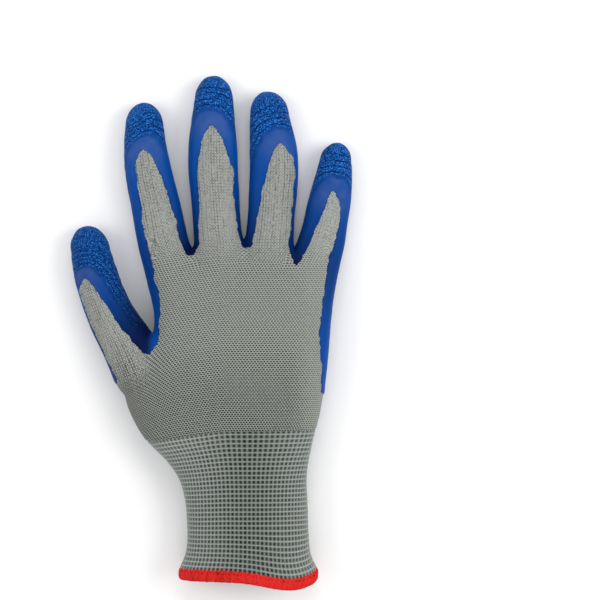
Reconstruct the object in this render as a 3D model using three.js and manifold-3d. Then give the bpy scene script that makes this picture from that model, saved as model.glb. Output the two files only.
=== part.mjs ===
// A latex-coated knit work glove for the right hand, size 9, lying palm down, in millimetres.
// +Y runs from the cuff to the fingertips, +X from the thumb to the little finger, +Z is the back of the
// hand. The origin is on the table, under the middle of the glove.
// Its pieces are the knitted hand and its five fingers, the mesh-knit cuff, the latex skin dipped over the
// palm and the five fingertips, and the overlocked hem round the mouth.
import * as THREE from "three";
import { mergeVertices } from "three/addons/utils/BufferGeometryUtils.js";
import Module from "manifold-3d";

const wasm = await Module();
wasm.setup();

// Wall thicknesses, and the gap left between the skin and the knit under it.
const latexThickness = 1.0;
const layerGap = 0.3;
const knitThickness = 1.2;
const knitInset = latexThickness + layerGap;
const hollowInset = knitInset + knitThickness;

// Where the hand's plain knit changes to the cuff's mesh knit, and where the cuff ends.
const cuffTop = -48;
const cuffBottom = -114.4;
const hemHeight = 5.3;
const hemThickness = 3.8;

// How finely each loft is cut into facets.
const outerFacets = { fingerSides: 12, handSides: 30, fingerStep: 12, handStep: 9 };
const hollowFacets = { fingerSides: 10, handSides: 20, fingerStep: 17, handStep: 13 };
const domeShares = [0.5, 0.85];

// Sections of the glove's outer surface across Y: the left and right edges, the top and the lowest level.
// A level below zero is flattened by the table.
const hand = {
  roundness: 2.45,
  columns: ["y", "left", "right", "top", "low"],
  rows: [
    [-118, -17, 53.5, 27.5, -0.5],
    [-114, -15.5, 51.5, 27, -0.5],
    [-108, -13.2, 49.4, 26.2, -0.6],
    [-98, -12.4, 48.5, 25.8, -0.8],
    [-82, -13.3, 47.7, 25.6, -0.8],
    [-71, -16.2, 47.6, 25.6, -0.8],
    [-62, -22.3, 48.5, 25.8, -0.8],
    [-53, -31.3, 50.2, 26.2, -0.8],
    [-42, -38.0, 52.8, 26.8, -0.9],
    [-30, -41.2, 55.2, 27.4, -1],
    [-18, -36.0, 56.7, 27.8, -1],
    [-6, -29.4, 57.8, 28, -1],
    [6, -27.6, 58.7, 27.8, -1],
    [16, -28.9, 59.7, 26.8, -1],
    [26, -31.2, 61.4, 25, -1],
    [34, -32.2, 62.8, 22, -0.8],
    [40, -31.6, 61.4, 14.5, 3],
  ],
};

// The fingers, each with the same columns and the point of its tip. The last row is where the tip's dome
// begins, and the first one lies inside the palm.
const fingers = {
  thumb: {
    tip: [-60.2, 52.1],
    rows: [
      [-36, -37.0, -12.0, 20, 3],
      [-27.6, -44.9, -14.0, 23, -0.6],
      [-17.9, -49.5, -18.5, 23, -1],
      [-5.8, -54.9, -24.5, 21.5, -1],
      [3, -59.0, -30.8, 20, -1],
      [11.2, -62.4, -36.9, 18.6, -1.1],
      [20.9, -65.3, -42.0, 17.6, -1.2],
      [30.6, -67.6, -45.8, 16.6, -1.2],
      [40.3, -68.8, -49.2, 14.6, -1],
    ],
  },
  index: {
    tip: [-32.7, 111.6],
    rows: [
      [16, -27.5, -9.5, 18, 4],
      [25, -30.9, -7.6, 21.4, -0.4],
      [33, -33.2, -7.2, 21.2, -0.8],
      [38, -34.6, -7.4, 20, -1],
      [43, -35.8, -10.2, 18.6, -1.1],
      [50, -37.1, -12.1, 17.4, -1.2],
      [60, -38.9, -14.3, 16.6, -1.2],
      [75, -41.9, -17.9, 16.4, -1.2],
      [89, -42.7, -21.3, 15.4, -1.1],
      [100, -42.0, -23.4, 13.6, -1],
    ],
  },
  middle: {
    tip: [1.2, 124.9],
    rows: [
      [16, -3.0, 14.0, 20, 4],
      [25, -8.0, 17.0, 22.4, -0.4],
      [33, -9.5, 18.0, 21.8, -0.8],
      [38, -9.8, 18.0, 20.4, -1],
      [43, -8.4, 16.6, 19, -1.1],
      [50, -8.7, 15.0, 17.8, -1.2],
      [64, -9.7, 13.8, 17, -1.2],
      [79, -11.2, 13.3, 16.8, -1.2],
      [93, -11.1, 12.7, 16.2, -1.1],
      [103, -9.9, 11.8, 15.2, -1.1],
      [113, -8.3, 10.7, 13.8, -1],
    ],
  },
  ring: {
    tip: [27.8, 117.2],
    rows: [
      [16, 21.0, 36.5, 19, 4],
      [25, 17.0, 40.5, 21.8, -0.4],
      [33, 15.6, 41.6, 21.2, -0.8],
      [38, 14.9, 40.6, 20, -1],
      [44, 15.9, 40.1, 18.2, -1.1],
      [50, 17.0, 40.6, 17.2, -1.2],
      [60, 17.9, 41.2, 16.6, -1.2],
      [79, 18.4, 42.6, 16.4, -1.2],
      [92, 18.6, 41.6, 15.6, -1.1],
      [106, 18.9, 38.1, 13.8, -1],
    ],
  },
  little: {
    tip: [61.3, 92.2],
    rows: [
      [12, 42.5, 56.0, 16, 4],
      [20, 39.0, 60.0, 19, 0],
      [28, 37.0, 62.0, 19.4, -0.6],
      [34, 36.4, 63.4, 18.6, -0.9],
      [39, 39.4, 64.4, 17.2, -1],
      [44, 41.7, 65.3, 15.8, -1.1],
      [52, 44.2, 66.5, 15.4, -1.2],
      [61, 46.3, 67.9, 15, -1.2],
      [68, 48.2, 68.5, 14.6, -1.1],
      [76, 50.4, 68.9, 13.8, -1],
      [83, 52.4, 68.6, 12.6, -0.9],
    ],
  },
};
const fingerRoundness = 2.15;

// Where each finger's own knit and latex begin, and the space that it takes on both sides, at its root and
// level with the longest fingertip.
const fingerSpaces = {
  thumb: { rootY: 1.5, rootX: [-75, -29.3], tipX: [-75, -60] },
  index: { rootY: 43.2, rootX: [-46, -9.3], tipX: [-50, -20.4] },
  middle: { rootY: 46.8, rootX: [-9.8, 16.1], tipX: [-20.4, 14.8] },
  ring: { rootY: 46.8, rootX: [16.1, 41.7], tipX: [14.8, 54.4] },
  little: { rootY: 44, rootX: [41.1, 80], tipX: [54.4, 80] },
};
const beyondTips = 130;

// The bare knit on each finger's back: the tongue's tip, then its left and right edges at each y.
const tongues = {
  thumb: {
    tip: [-60.9, 26.1],
    edges: [
      [-6, -53.5, -36.2],
      [0, -56.3, -41.8],
      [7.7, -59.6, -47.4],
      [15.4, -61.9, -52.6],
      [22.6, -63.1, -57.2],
    ],
  },
  index: {
    tip: [-32.6, 87.9],
    edges: [
      [42.7, -30.2, -14.4],
      [50, -31.7, -16.2],
      [58.2, -33.3, -18.6],
      [67.5, -34.8, -21.1],
      [76.7, -35.6, -24.4],
      [83.5, -35.7, -28.2],
    ],
  },
  middle: {
    tip: [0.4, 100.5],
    edges: [
      [43, -5.4, 13.4],
      [52, -5.2, 12.2],
      [66, -5.7, 11.0],
      [78, -6.2, 9.4],
      [86, -5.1, 8.0],
      [92.2, -3.9, 6.0],
      [96.8, -2.4, 3.6],
    ],
  },
  ring: {
    tip: [33.3, 91.2],
    edges: [
      [42, 20.0, 37.6],
      [47, 21.1, 38.1],
      [55, 22.9, 39.2],
      [65, 24.6, 40.0],
      [74, 26.3, 39.9],
      [81.9, 28.7, 39.6],
      [87.1, 30.5, 37.4],
    ],
  },
  little: {
    tip: [59.0, 68.2],
    edges: [
      [36, 43.8, 57.4],
      [42.6, 47.1, 59.2],
      [48.5, 49.8, 60.4],
      [54.5, 51.6, 61.8],
      [60, 54.7, 62.1],
      [64.8, 56.6, 61.2],
    ],
  },
};

// The latex comes down to these points between the tongues, on the back of the hand.
const webs = {
  thumb: [
    [-33, -9.2],
    [-29.6, -10.6],
    [-25.4, -5.3],
    [-24.5, 8],
    [-24.8, 22],
    [-27.6, 33.5],
  ],
  index: [[-10, 37.6]],
  middle: [[16.6, 38.4]],
  ring: [[41.1, 32.4]],
};
const thumbSide = [
  [-80, -30],
  [-47, -27.8],
  [-45.6, -23],
  [-50.5, -12.5],
];
const littleSide = [
  [56.2, 31],
  [54.7, 22],
  [53, 8],
  [52.5, -5],
  [53.5, -20],
  [54.6, -30],
  [80, -34],
];
const knitBelow = -150;

// On the sides the latex edge slopes from the back of the hand down to the palm, and it ends on the palm
// at a shallow curve.
const sideSlope = {
  columns: ["y", "z"],
  rows: [
    [-22, 9],
    [-54, 6],
    [-63, 3],
    [-70, -2],
  ],
};
const palmEdge = [
  [-90, -50],
  [-26, -57],
  [-12, -63],
  [2, -66],
  [20, -66.8],
  [36, -66],
  [50, -64.4],
  [90, -62],
];

// The hollow of the palm, where the glove stands off the table.
const palmHollow = { x: 17, y: -12, reachX: 32, reachY: 27, depth: 3.4 };

// The mouth sags towards the little finger on the back of the hand.
const sag = { x: 36, reach: 17, depth: 5.3, fromY: -92 };

// Values of a table's row at y, on a smooth curve through its rows.
function valuesAt(rows, y) {
  const last = rows.length - 1;
  let i = 0;
  while (i < last - 1 && y > rows[i + 1][0]) i += 1;
  const [a, b] = [rows[i], rows[i + 1]];
  const [before, after] = [rows[Math.max(i - 1, 0)], rows[Math.min(i + 2, last)]];
  const span = b[0] - a[0];
  const t = Math.min(Math.max((y - a[0]) / span, 0), 1);
  return a.map((value, c) => {
    const startSlope = ((b[c] - before[c]) / (b[0] - before[0])) * span;
    const endSlope = ((after[c] - a[c]) / (after[0] - a[0])) * span;
    const t2 = t * t;
    const t3 = t2 * t;
    return (
      value * (2 * t3 - 3 * t2 + 1) +
      startSlope * (t3 - 2 * t2 + t) +
      b[c] * (3 * t2 - 2 * t3) +
      endSlope * (t3 - t2)
    );
  });
}

// How far the palm stands off the table at x, y.
function palmLift(x, y) {
  const across = (x - palmHollow.x) / palmHollow.reachX;
  const along = (y - palmHollow.y) / palmHollow.reachY;
  return palmHollow.depth * Math.max(0, 1 - across ** 2 - along ** 2) ** 2;
}

// How far the knit near the mouth is drawn down at x, for a point at a share of the height, from 0 to 1.
function mouthSag(x, y, heightShare) {
  const along = Math.min(Math.max((sag.fromY - y) / (sag.fromY - cuffBottom), 0), 1.3);
  return sag.depth * along * heightShare * Math.exp(-(((x - sag.x) / sag.reach) ** 2));
}

// One section as a ring of points: an oval between the row's edges, drawn in by inset all round, and
// flattened where it would go through the table.
function sectionRing(row, inset, sides, roundness, shape = {}) {
  const [y, left, right, top, low] = row;
  const { squeeze = 1, shiftX = 0, lifted = false } = shape;
  const halfWidth = ((right - left) / 2 - inset) * squeeze;
  const halfHeight = ((top - low) / 2 - inset) * squeeze;
  const middleX = (left + right) / 2 + shiftX;
  const middleZ = (top + low) / 2;
  const rounded = (v) => Math.sign(v) * Math.abs(v) ** (2 / roundness);
  return Array.from({ length: sides }, (_, k) => {
    const angle = (2 * Math.PI * k) / sides;
    const x = middleX + halfWidth * rounded(Math.cos(angle));
    const s = rounded(Math.sin(angle));
    const z = middleZ + halfHeight * s;
    const floor = inset + (lifted ? palmLift(x, y) : 0);
    const drop = lifted ? mouthSag(x, y, (s + 1) / 2) : 0;
    return new THREE.Vector3(x, y - drop, Math.max(z, floor));
  });
}

// A closed solid through rings of points, with a fan over each end.
function loft(rings) {
  const sides = rings[0].length;
  const positions = rings.flat().flatMap((p) => p.toArray());
  const indices = [];
  for (let i = 0; i < rings.length - 1; i += 1)
    for (let k = 0; k < sides; k += 1) {
      const [a, b] = [i * sides + k, i * sides + ((k + 1) % sides)];
      indices.push(a, a + sides, b, b, a + sides, b + sides);
    }
  const ends = [rings[0], rings[rings.length - 1]];
  ends.forEach((ring, end) => {
    const centre = ring.reduce((sum, p) => sum.add(p), new THREE.Vector3()).divideScalar(sides);
    const middle = positions.length / 3;
    const first = end * (rings.length - 1) * sides;
    positions.push(...centre.toArray());
    for (let k = 0; k < sides; k += 1) {
      const [a, b] = [first + k, first + ((k + 1) % sides)];
      if (end) indices.push(middle, b, a);
      else indices.push(middle, a, b);
    }
  });
  const geometry = new THREE.BufferGeometry();
  geometry.setAttribute("position", new THREE.Float32BufferAttribute(positions, 3));
  geometry.setIndex(indices);
  return geometry;
}

// Even steps of about one size from one y to another, both ends included.
function steps(from, to, size) {
  const count = Math.max(1, Math.round((to - from) / size));
  return Array.from({ length: count + 1 }, (_, i) => from + ((to - from) * i) / count);
}

// The hand's levels between two ends: whole steps counted from the cuff's top, so that every layer has its
// rings at the same places and the gap between two layers stays even.
function handLevels(from, to, size) {
  const first = Math.ceil((from - cuffTop) / size);
  const last = Math.floor((to - cuffTop) / size);
  const between = Array.from({ length: last - first + 1 }, (_, i) => cuffTop + (first + i) * size);
  const nearest = size / 4;
  return [from, ...between.filter((y) => y - from > nearest && to - y > nearest), to];
}

function solidFrom(geometry) {
  const bare = geometry.clone();
  bare.deleteAttribute("normal");
  bare.deleteAttribute("uv");
  const merged = mergeVertices(bare, 1e-4);
  return new wasm.Manifold(
    new wasm.Mesh({
      numProp: 3,
      vertProperties: new Float32Array(merged.attributes.position.array),
      triVerts: new Uint32Array(merged.index.array),
    }),
  );
}

function geometryFrom(solid) {
  const mesh = solid.getMesh();
  const geometry = new THREE.BufferGeometry();
  geometry.setAttribute("position", new THREE.BufferAttribute(mesh.vertProperties, 3));
  geometry.setIndex(new THREE.BufferAttribute(mesh.triVerts, 1));
  geometry.computeVertexNormals();
  return geometry;
}

// The hand or the cuff between two levels, drawn in by inset.
function handTube(inset, fromY, toY, facets) {
  const shape = { lifted: true };
  const rings = handLevels(fromY, toY, facets.handStep).map((y) => {
    const row = valuesAt(hand.rows, y);
    return sectionRing(row, inset, facets.handSides, hand.roundness, shape);
  });
  return solidFrom(loft(rings));
}

// A finger from its root inside the palm to its domed tip, drawn in by inset.
function fingerTube({ tip, rows }, inset, { fingerSides, fingerStep }) {
  const base = rows[rows.length - 1];
  const domeStart = base[0];
  const domeHeight = tip[1] - domeStart - inset;
  const rings = steps(rows[0][0], domeStart, fingerStep).map((y) =>
    sectionRing(valuesAt(rows, y), inset, fingerSides, fingerRoundness),
  );
  const lean = tip[0] - (base[1] + base[2]) / 2;
  for (const share of domeShares) {
    const row = [domeStart + domeHeight * share, ...base.slice(1)];
    const shape = { squeeze: Math.sqrt(1 - share ** 2), shiftX: lean * share };
    rings.push(sectionRing(row, inset, fingerSides, fingerRoundness, shape));
  }
  const apex = new THREE.Vector3(tip[0], tip[1] - inset, (base[3] + base[4]) / 2);
  rings.push(rings[rings.length - 1].map((p) => p.clone().lerp(apex, 0.85).setY(apex.y)));
  return solidFrom(loft(rings));
}

// The whole glove as one filled body, drawn in by inset, down to fromY.
function gloveBody(inset, fromY, facets) {
  const top = hand.rows[hand.rows.length - 1][0] - inset;
  return Object.values(fingers).reduce(
    (body, finger) => body.add(fingerTube(finger, inset, facets)),
    handTube(inset, fromY, top, facets),
  );
}

// The outline of the bare knit seen from above: up the left of each tongue, over its tip and down its
// right, and down between the fingers.
function knitOutline() {
  const points = [...thumbSide];
  for (const [name, { tip, edges }] of Object.entries(tongues)) {
    const up = edges.map(([y, left]) => [left, y]);
    const down = edges.map(([y, , right]) => [right, y]).reverse();
    points.push(...up, tip, ...down, ...(webs[name] ?? []));
  }
  points.push(...littleSide);
  const curve = new THREE.CatmullRomCurve3(
    points.map(([x, y]) => new THREE.Vector3(x, y, 0)),
    false,
    "centripetal",
  );
  const smooth = curve.getPoints(Math.round(points.length * 1.5)).map((p) => [p.x, p.y]);
  return [...smooth, [80, knitBelow], [-80, knitBelow]];
}

// A prism over an outline in the XY plane.
function prism(outline, fromZ, toZ) {
  const shape = new THREE.Shape(outline.map(([x, y]) => new THREE.Vector2(x, y)));
  const geometry = new THREE.ExtrudeGeometry(shape, { depth: toZ - fromZ, bevelEnabled: false });
  return solidFrom(geometry.translate(0, 0, fromZ));
}

// Everything above the sloping line along which the latex ends on the glove's sides.
function aboveSlope() {
  const first = sideSlope.rows[0];
  const last = sideSlope.rows[sideSlope.rows.length - 1];
  const profile = [
    [160, first[1]],
    [160, 60],
    [-160, 60],
    [-160, last[1]],
    ...[...sideSlope.rows].reverse(),
  ];
  const shape = new THREE.Shape(profile.map(([y, z]) => new THREE.Vector2(y, z)));
  const geometry = new THREE.ExtrudeGeometry(shape, { depth: 200, bevelEnabled: false });
  // The profile's y and z are drawn as x and y, so its axes are turned into place.
  const turn = new THREE.Matrix4().makeBasis(
    new THREE.Vector3(0, 1, 0),
    new THREE.Vector3(0, 0, 1),
    new THREE.Vector3(1, 0, 0),
  );
  return solidFrom(geometry.applyMatrix4(turn).translate(-100, 0, 0));
}

// The skin over the palm, the sides and the fingertips: a thin shell with the bare knit cut out of it.
function latexSkin() {
  const outer = gloveBody(0, -78, outerFacets);
  const shell = outer.subtract(gloveBody(latexThickness, -84, outerFacets));
  const back = prism(knitOutline(), -5, 60).intersect(aboveSlope());
  const wrist = prism([...palmEdge, [90, knitBelow], [-90, knitBelow]], -5, 60);
  return shell.subtract(back).subtract(wrist);
}

// The whole knit under the skin, hollow into its fingertips and open at the wrist.
function knitShell() {
  const outer = gloveBody(knitInset, cuffTop, outerFacets);
  return outer.subtract(gloveBody(hollowInset, cuffTop - 12, hollowFacets));
}

// The space of one finger, from a distance past its root.
function fingerSpace({ rootY, rootX, tipX }, pastRoot) {
  const outline = [
    [rootX[0], rootY + pastRoot],
    [rootX[1], rootY + pastRoot],
    [tipX[1], beyondTips],
    [tipX[0], beyondTips],
  ];
  return prism(outline, -5, 60);
}

// A layer of the hand without its fingers, open at the root of each finger.
function withoutFingers(layer) {
  return Object.values(fingerSpaces).reduce(
    (rest, space) => rest.subtract(fingerSpace(space, -layerGap)),
    layer,
  );
}

// The mesh-knit cuff, open at both ends.
function knitCuff() {
  const outer = handTube(knitInset, cuffBottom, cuffTop - layerGap, outerFacets);
  return outer.subtract(handTube(hollowInset, cuffBottom - 3, cuffTop + 3, hollowFacets));
}

// The hem: a rounded band carried round the mouth, under the edge of the cuff.
function hemBand() {
  const row = valuesAt(hand.rows, cuffBottom);
  const { handSides } = outerFacets;
  const middleInset = (knitInset + hollowInset) / 2;
  const middle = sectionRing(row, middleInset, handSides, hand.roundness, { lifted: true });
  const centre = new THREE.Vector3((row[1] + row[2]) / 2, 0, (row[3] + row[4]) / 2);
  const profileSides = 8;
  const rings = middle.map((p, k) => {
    const next = middle[(k + 1) % handSides];
    const previous = middle[(k + handSides - 1) % handSides];
    const along = new THREE.Vector3().subVectors(next, previous).normalize();
    const outward = new THREE.Vector3().crossVectors(along, new THREE.Vector3(0, 1, 0)).normalize();
    if (outward.dot(new THREE.Vector3().subVectors(p, centre).setY(0)) < 0) outward.negate();
    const hemMiddle = p.clone().setY(p.y - layerGap - hemHeight / 2);
    return Array.from({ length: profileSides }, (_, j) => {
      const angle = (2 * Math.PI * (j + 0.5)) / profileSides;
      const out = (hemThickness / 2) * Math.sign(Math.cos(angle)) * Math.abs(Math.cos(angle)) ** 0.6;
      const down = (hemHeight / 2) * Math.sign(Math.sin(angle)) * Math.abs(Math.sin(angle)) ** 0.6;
      const point = hemMiddle.clone().addScaledVector(outward, out);
      return new THREE.Vector3(point.x, point.y + down, Math.max(point.z, 0));
    });
  });
  const positions = rings.flat().flatMap((p) => p.toArray());
  const indices = [];
  for (let k = 0; k < handSides; k += 1)
    for (let j = 0; j < profileSides; j += 1) {
      const k2 = (k + 1) % handSides;
      const j2 = (j + 1) % profileSides;
      const [a, b] = [k * profileSides + j, k * profileSides + j2];
      const [c, d] = [k2 * profileSides + j, k2 * profileSides + j2];
      indices.push(a, b, c, b, d, c);
    }
  const geometry = new THREE.BufferGeometry();
  geometry.setAttribute("position", new THREE.Float32BufferAttribute(positions, 3));
  geometry.setIndex(indices);
  return geometry;
}

// A geometry whose faces point in is turned inside out.
function facingOut(geometry) {
  const turned = geometry.clone();
  const solid = solidFrom(turned);
  if (solid.volume() > 0) return turned;
  const index = turned.index.array;
  for (let i = 0; i < index.length; i += 3)
    [index[i + 1], index[i + 2]] = [index[i + 2], index[i + 1]];
  return turned;
}

const knitGrey = new THREE.MeshStandardMaterial({ color: 0x9ba09b, roughness: 0.9, metalness: 0 });
const meshGrey = new THREE.MeshStandardMaterial({ color: 0x8f948f, roughness: 0.9, metalness: 0 });
const latexBlue = new THREE.MeshStandardMaterial({ color: 0x1c4c9c, roughness: 0.45, metalness: 0 });
const hemRed = new THREE.MeshStandardMaterial({ color: 0xe0392b, roughness: 0.85, metalness: 0 });

const knit = knitShell();
const latex = latexSkin();
const pieces = [
  ["knit_hand", geometryFrom(withoutFingers(knit)), knitGrey],
  ["knit_cuff", geometryFrom(knitCuff()), meshGrey],
  ["latex_palm", geometryFrom(withoutFingers(latex)), latexBlue],
  ["cuff_hem", facingOut(hemBand()), hemRed],
];
for (const [name, space] of Object.entries(fingerSpaces)) {
  const room = fingerSpace(space, 0);
  pieces.push([`knit_${name}`, geometryFrom(knit.intersect(room)), knitGrey]);
  pieces.push([`latex_${name}`, geometryFrom(latex.intersect(room)), latexBlue]);
}

const glove = new THREE.Group();
for (const [name, geometry, material] of pieces) {
  const mesh = new THREE.Mesh(geometry, material);
  mesh.name = name;
  glove.add(mesh);
}

export default glove;
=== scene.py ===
# The looks of a latex-dipped knit work glove that lies palm down.
# Tables and shapes are in millimetres, as in the frame's source; meshes are made in metres.
import math
from types import SimpleNamespace

import bpy
import numpy as np
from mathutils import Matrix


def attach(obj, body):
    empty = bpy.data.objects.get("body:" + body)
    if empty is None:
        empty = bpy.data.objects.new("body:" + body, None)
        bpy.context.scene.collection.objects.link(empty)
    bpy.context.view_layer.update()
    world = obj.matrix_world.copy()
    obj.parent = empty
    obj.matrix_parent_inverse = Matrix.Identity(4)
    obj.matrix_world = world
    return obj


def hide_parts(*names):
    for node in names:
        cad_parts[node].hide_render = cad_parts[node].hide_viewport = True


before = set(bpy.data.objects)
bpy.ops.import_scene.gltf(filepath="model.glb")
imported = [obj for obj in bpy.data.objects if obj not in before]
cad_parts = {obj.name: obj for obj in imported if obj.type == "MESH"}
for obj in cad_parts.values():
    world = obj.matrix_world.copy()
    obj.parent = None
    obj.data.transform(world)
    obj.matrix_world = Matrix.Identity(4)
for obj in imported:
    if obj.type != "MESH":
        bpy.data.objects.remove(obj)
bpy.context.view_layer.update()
print("frame loaded:", len(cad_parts), "nodes")

metre = 0.001

# The form that all the layers share: sections across Y as [y, left, right, top, lowest level].
gloveForm = {
    "knitFace": 0.6,  # how far the knit's face lies under the latex's face
    "handRoundness": 2.45,
    "fingerRoundness": 2.15,
    "smoothing": 7,
    "tipReach": 0.8,  # what the smoothing takes off a fingertip
    "softening": 60,  # how far the places where fingers and thumb join the hand are rounded, mm^2
    "softFromY": (-48, -30), "softToY": (66, 50), "softAboveZ": (12, 17),
    "palmHollow": {"x": 17, "y": -12, "reachX": 32, "reachY": 27, "depth": 3.4},
    "mouthSag": {"x": 43, "reach": 19, "depth": 5.2, "fromY": -92, "toY": -113.4},
}
form = SimpleNamespace(**gloveForm)
handRows = np.array([
    [-124, -19.5, 56, 28, -0.5], [-117.5, -17.2, 54.6, 27.5, -0.5], [-113.4, -15.6, 52.2, 27, -0.5],
    [-107.4, -13.2, 49.5, 26.2, -0.6], [-98, -12.4, 48.5, 25.8, -0.8], [-82, -13.3, 47.7, 25.6, -0.8],
    [-71, -16.2, 47.6, 25.6, -0.8], [-62, -22.3, 48.5, 25.8, -0.8], [-53, -31.3, 50.2, 26.2, -0.8],
    [-42, -38.0, 52.8, 26.8, -0.9], [-30, -42.0, 55.2, 27.4, -1], [-18, -36.0, 56.7, 27.8, -1],
    [-6, -29.4, 57.8, 28, -1], [6, -27.6, 58.7, 27.8, -1], [16, -28.9, 59.7, 26.8, -1],
    [26, -31.2, 61.4, 24.4, -1], [34, -32.2, 62.8, 20.6, -0.8], [40, -31.6, 61.4, 13, 3],
])
fingerRows = {
    "thumb": {"tip": (-60.2, 51.5), "rows": np.array([
        [-36, -37.0, -12.0, 20, 3], [-27.6, -44.9, -14.0, 23, -0.6], [-17.9, -49.5, -18.5, 23, -1],
        [-5.8, -54.9, -24.5, 21.5, -1], [3, -59.0, -30.8, 20, -1], [11.2, -62.4, -36.9, 18.6, -1.1],
        [20.9, -65.3, -42.0, 17.6, -1.2], [30.6, -67.6, -45.8, 16.6, -1.2], [40.3, -68.8, -49.2, 14.6, -1],
    ])},
    "index": {"tip": (-32.7, 111.6), "rows": np.array([
        [16, -27.5, -9.5, 20, 4], [25, -30.9, -7.6, 23.4, -0.4], [33, -33.2, -7.2, 22.4, -0.8],
        [38, -34.6, -7.4, 21, -1], [43, -35.8, -10.2, 19.4, -1.1], [50, -37.1, -12.1, 17.9, -1.2],
        [60, -38.9, -14.3, 16.6, -1.2], [75, -41.9, -17.9, 16.4, -1.2], [89, -42.7, -21.3, 15.4, -1.1],
        [100, -42.0, -23.4, 13.6, -1],
    ])},
    "middle": {"tip": (1.2, 124.9), "rows": np.array([
        [16, -3.0, 14.0, 20, 4], [25, -8.0, 17.0, 24.2, -0.4], [33, -9.5, 18.0, 23, -0.8],
        [38, -9.8, 18.0, 21.4, -1], [43, -8.4, 16.6, 19.8, -1.1], [50, -8.7, 15.0, 18.3, -1.2],
        [64, -9.7, 13.8, 17, -1.2], [79, -11.2, 13.3, 16.8, -1.2], [93, -11.1, 12.7, 16.2, -1.1],
        [103, -9.9, 11.8, 15.2, -1.1], [113, -8.3, 10.7, 13.8, -1],
    ])},
    "ring": {"tip": (27.8, 117.2), "rows": np.array([
        [16, 21.0, 36.5, 20, 4], [25, 17.0, 40.5, 23.8, -0.4], [33, 15.6, 41.6, 22.4, -0.8],
        [38, 14.9, 40.8, 20.9, -1], [44, 15.9, 40.3, 19, -1.1], [50, 17.0, 40.6, 17.7, -1.2],
        [60, 17.9, 41.2, 16.6, -1.2], [79, 18.4, 42.6, 16.4, -1.2], [92, 18.6, 41.6, 15.6, -1.1],
        [106, 18.9, 38.1, 13.8, -1],
    ])},
    "little": {"tip": (61.3, 92.2), "rows": np.array([
        [12, 42.5, 56.0, 16, 4], [20, 39.0, 60.0, 21, 0], [28, 37.0, 62.0, 21, -0.6],
        [34, 36.4, 63.4, 19.8, -0.9], [39, 39.2, 64.4, 18, -1], [44, 41.7, 65.3, 15.8, -1.1],
        [52, 44.2, 66.5, 15.4, -1.2], [61, 46.3, 67.9, 15, -1.2], [68, 48.2, 68.5, 14.6, -1.1],
        [76, 50.4, 68.9, 13.8, -1], [83, 52.4, 68.6, 12.6, -0.9],
    ])},
}


# 0 up to start, 1 from end on, and 3t^2 - 2t^3 between them.
def smoothStep(start, end, value):
    t = np.clip((value - start) / (end - start), 0, 1)
    return t * t * (3 - 2 * t)


# A bell: e to the power of minus the square of the distance, measured in reaches.
def bell(distance, reach):
    return np.exp(-((distance / reach) ** 2))


# The cubic in t from a first value to a second one that has the given slopes at both.
def cubic(first, second, firstSlope, secondSlope, t):
    return (first * (2 * t**3 - 3 * t**2 + 1) + firstSlope * (t**3 - 2 * t**2 + t)
            + second * (3 * t**2 - 2 * t**3) + secondSlope * (t**3 - t**2))


# A table's values at each y: a cubic from row to row, whose slope at a row is the slope of the
# straight line between that row's two neighbours.
def alongRows(rows, y):
    y = np.asarray(y, float).reshape(-1, 1)
    last = len(rows) - 1
    i = np.clip(np.searchsorted(rows[:, 0], y[:, 0]) - 1, 0, last - 1)
    a, b = rows[i], rows[i + 1]
    before, after = rows[np.maximum(i - 1, 0)], rows[np.minimum(i + 2, last)]
    span = b[:, :1] - a[:, :1]
    startSlope = (b - before) / (b[:, :1] - before[:, :1]) * span
    endSlope = (after - a) / (after[:, :1] - a[:, :1]) * span
    return cubic(a, b, startSlope, endSlope, np.clip((y - a[:, :1]) / span, 0, 1))


# Value noise from -1 to 1: each corner of the cell round a point hashes to a number, and the eight
# numbers are blended by smooth steps.
def valueNoise(points, cell, seed):
    scaled = points / cell
    base = np.floor(scaled).astype(np.int64)
    t = scaled - base
    t = t * t * (3 - 2 * t)
    total = np.zeros(len(points))
    for corner in np.ndindex(2, 2, 2):
        at = base + corner
        mixed = at[:, 0] * 374761393 + at[:, 1] * 668265263 + at[:, 2] * 1103515245 + seed * 144665
        mixed &= 0xFFFFFFFF
        mixed = ((mixed ^ (mixed >> 13)) * 1274126177) & 0xFFFFFFFF
        value = ((mixed ^ (mixed >> 16)) & 0xFFFF) / 32767.5 - 1
        total += np.prod(np.where(corner, t, 1 - t), axis=1) * value
    return total


# The sum of layers of value noise, each with its height, cell and seed.
def layeredNoise(points, layers):
    return sum(height * valueNoise(points, cell, seed) for height, cell, seed in layers)


# How far the palm stands off the table: depth times the square of 1 minus the squared distance from
# the hollow's middle, measured in reaches.
def palmLift(x, y):
    hollow = form.palmHollow
    across = (x - hollow["x"]) / hollow["reachX"]
    along = (y - hollow["y"]) / hollow["reachY"]
    return hollow["depth"] * np.maximum(0, 1 - across**2 - along**2) ** 2


# How far the knit near the mouth is drawn down on the back: a bell across X that grows towards the
# mouth, and from nothing at half the height, where upness is 0, to the top, where it is 1.
def mouthSag(x, y, upness):
    sag = form.mouthSag
    along = np.clip((sag["fromY"] - y) / (sag["fromY"] - sag["toY"]), 0, 1.3)
    return sag["depth"] * along * np.clip(upness, 0, 1) * bell(x - sag["x"], sag["reach"])


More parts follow.
